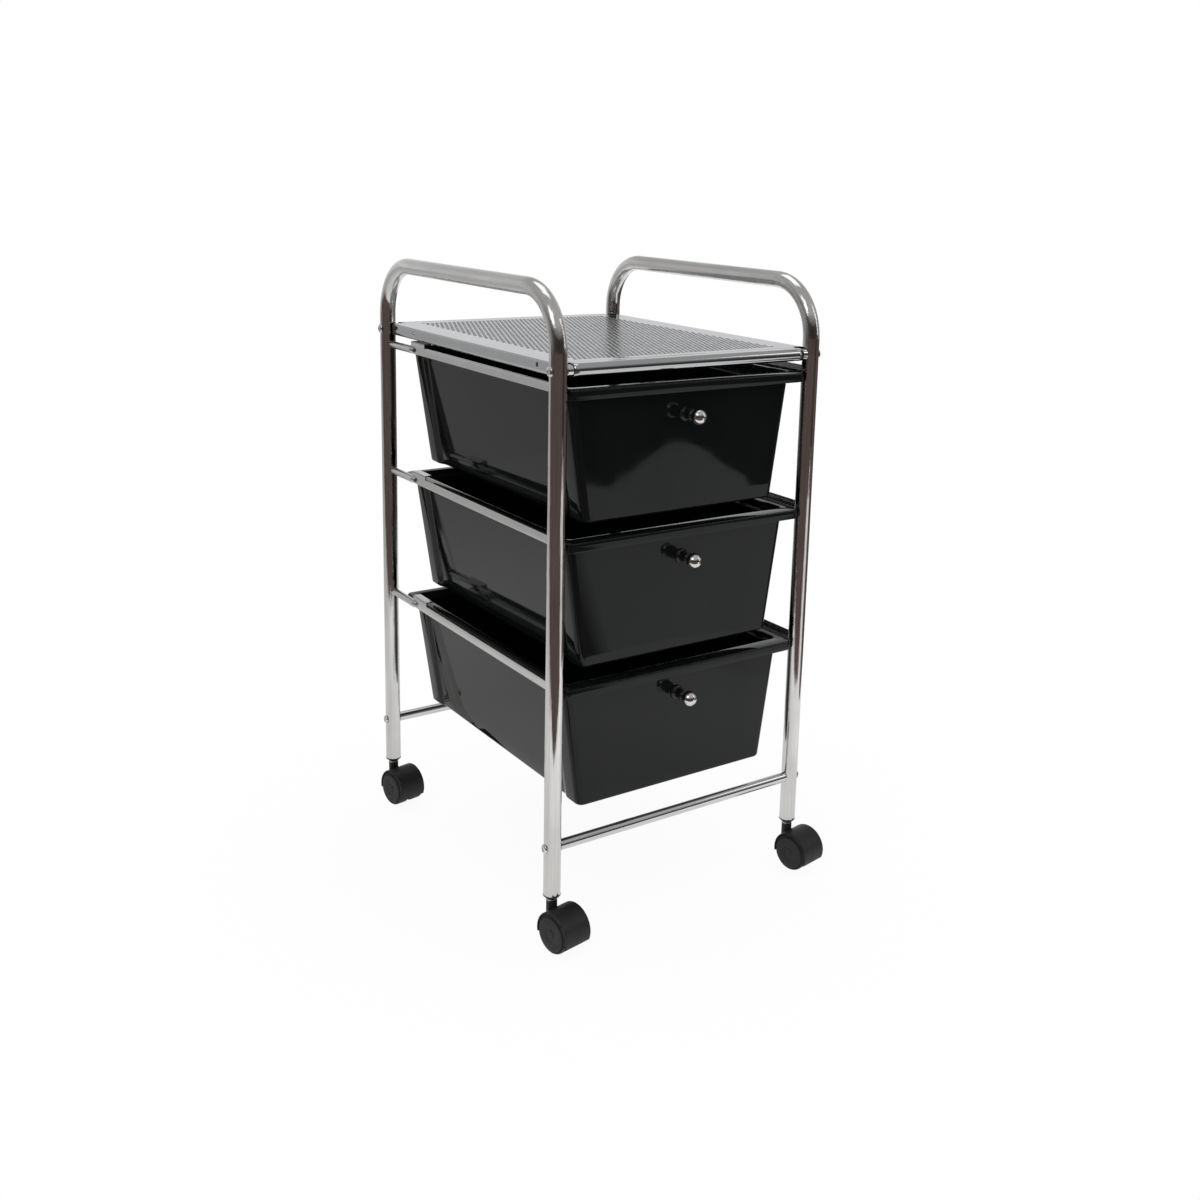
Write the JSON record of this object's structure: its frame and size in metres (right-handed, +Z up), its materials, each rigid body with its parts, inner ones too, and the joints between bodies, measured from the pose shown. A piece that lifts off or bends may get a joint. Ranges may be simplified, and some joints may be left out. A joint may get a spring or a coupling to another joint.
{
  "type": "rolling storage trolley",
  "caption": "Narrow rolling storage trolley: chrome tube frame with handle loops, perforated top tray, pull-out black plastic drawers with ball knobs, and swivel casters.",
  "frame": {"origin": "on the floor, under the middle of the whole trolley's box, casters and knobs included", "axes": "+Z up, -Y out of the drawer fronts, +X to the right seen from the front"},
  "size_m": [0.3494, 0.431, 0.66],
  "materials": {
    "frame_tube": "polished chrome plate on bent steel tube",
    "cross_bar": "polished chrome plate",
    "rail": "plated pressed strip, slightly dull",
    "tray_sheet": "plated sheet, slightly dull",
    "fastener": "bright plated pan head",
    "drawer_moulding": "glossy black polypropylene",
    "knob_neck": "glossy black",
    "knob_ball": "mirror polish",
    "plated_pin": "zinc plated",
    "socket_moulding": "black polyethylene",
    "hood_moulding": "fine-textured black nylon",
    "wheel_moulding": "hard black nylon"
  },
  "bodies": {
    "frame": {"left_frame": "frame_tube", "right_frame": "frame_tube", "upper_front_bar": "cross_bar", "upper_rear_bar": "cross_bar", "lower_front_bar": "cross_bar", "lower_rear_bar": "cross_bar", "frame_screws": "fastener", "tray": "tray_sheet", "left_top_rail": "rail", "right_top_rail": "rail", "left_middle_rail": "rail", "right_middle_rail": "rail", "left_bottom_rail": "rail", "right_bottom_rail": "rail", "front_left_socket": "socket_moulding", "front_left_stem": "plated_pin", "rear_left_socket": "socket_moulding", "rear_left_stem": "plated_pin", "front_right_socket": "socket_moulding", "front_right_stem": "plated_pin", "rear_right_socket": "socket_moulding", "rear_right_stem": "plated_pin"},
    "top_drawer_unit": {"top_drawer": "drawer_moulding", "top_knob_neck": "knob_neck", "top_knob_ball": "knob_ball", "top_knob_screw": "plated_pin"},
    "middle_drawer_unit": {"middle_drawer": "drawer_moulding", "middle_knob_neck": "knob_neck", "middle_knob_ball": "knob_ball", "middle_knob_screw": "plated_pin"},
    "bottom_drawer_unit": {"bottom_drawer": "drawer_moulding", "bottom_knob_neck": "knob_neck", "bottom_knob_ball": "knob_ball", "bottom_knob_screw": "plated_pin"},
    "front_left_caster": {"front_left_hood": "hood_moulding", "front_left_axle": "plated_pin"},
    "front_left_left_roller": {"front_left_left_wheel": "wheel_moulding"},
    "front_left_right_roller": {"front_left_right_wheel": "wheel_moulding"},
    "rear_left_caster": {"rear_left_hood": "hood_moulding", "rear_left_axle": "plated_pin"},
    "rear_left_left_roller": {"rear_left_left_wheel": "wheel_moulding"},
    "rear_left_right_roller": {"rear_left_right_wheel": "wheel_moulding"},
    "front_right_caster": {"front_right_hood": "hood_moulding", "front_right_axle": "plated_pin"},
    "front_right_left_roller": {"front_right_left_wheel": "wheel_moulding"},
    "front_right_right_roller": {"front_right_right_wheel": "wheel_moulding"},
    "rear_right_caster": {"rear_right_hood": "hood_moulding", "rear_right_axle": "plated_pin"},
    "rear_right_left_roller": {"rear_right_left_wheel": "wheel_moulding"},
    "rear_right_right_roller": {"rear_right_right_wheel": "wheel_moulding"}
  },
  "joints": [
    {"name": "top_drawer_slide", "type": "slide", "parent": "frame", "child": "top_drawer_unit", "axis": [0, -1, 0], "range_m": [0, 0.25]},
    {"name": "middle_drawer_slide", "type": "slide", "parent": "frame", "child": "middle_drawer_unit", "axis": [0, -1, 0], "range_m": [0, 0.25]},
    {"name": "bottom_drawer_slide", "type": "slide", "parent": "frame", "child": "bottom_drawer_unit", "axis": [0, -1, 0], "range_m": [0, 0.25]},
    {"name": "front_left_swivel", "type": "hinge", "parent": "frame", "child": "front_left_caster", "pos_m": [-0.1576, -0.1731, 0.0446], "axis": [0, 0, 1], "continuous": true},
    {"name": "front_left_left_wheel_spin", "type": "hinge", "parent": "front_left_caster", "child": "front_left_left_roller", "pos_m": [-0.15424, -0.19139, 0.02], "axis": [0.9836, 0.1805, 0], "continuous": true},
    {"name": "front_left_right_wheel_spin", "type": "hinge", "parent": "front_left_caster", "child": "front_left_right_roller", "pos_m": [-0.15424, -0.19139, 0.02], "axis": [0.9836, 0.1805, 0], "continuous": true},
    {"name": "rear_left_swivel", "type": "hinge", "parent": "frame", "child": "rear_left_caster", "pos_m": [-0.1576, 0.2059, 0.0446], "axis": [0, 0, 1], "continuous": true},
    {"name": "rear_left_left_wheel_spin", "type": "hinge", "parent": "rear_left_caster", "child": "rear_left_left_roller", "pos_m": [-0.15424, 0.18761, 0.02], "axis": [0.9836, 0.1805, 0], "continuous": true},
    {"name": "rear_left_right_wheel_spin", "type": "hinge", "parent": "rear_left_caster", "child": "rear_left_right_roller", "pos_m": [-0.15424, 0.18761, 0.02], "axis": [0.9836, 0.1805, 0], "continuous": true},
    {"name": "front_right_swivel", "type": "hinge", "parent": "frame", "child": "front_right_caster", "pos_m": [0.1508, -0.1731, 0.0446], "axis": [0, 0, 1], "continuous": true},
    {"name": "front_right_left_wheel_spin", "type": "hinge", "parent": "front_right_caster", "child": "front_right_left_roller", "pos_m": [0.15416, -0.19139, 0.02], "axis": [0.9836, 0.1805, 0], "continuous": true},
    {"name": "front_right_right_wheel_spin", "type": "hinge", "parent": "front_right_caster", "child": "front_right_right_roller", "pos_m": [0.15416, -0.19139, 0.02], "axis": [0.9836, 0.1805, 0], "continuous": true},
    {"name": "rear_right_swivel", "type": "hinge", "parent": "frame", "child": "rear_right_caster", "pos_m": [0.1508, 0.2059, 0.0446], "axis": [0, 0, 1], "continuous": true},
    {"name": "rear_right_left_wheel_spin", "type": "hinge", "parent": "rear_right_caster", "child": "rear_right_left_roller", "pos_m": [0.15416, 0.18761, 0.02], "axis": [0.9836, 0.1805, 0], "continuous": true},
    {"name": "rear_right_right_wheel_spin", "type": "hinge", "parent": "rear_right_caster", "child": "rear_right_right_roller", "pos_m": [0.15416, 0.18761, 0.02], "axis": [0.9836, 0.1805, 0], "continuous": true}
  ]
}
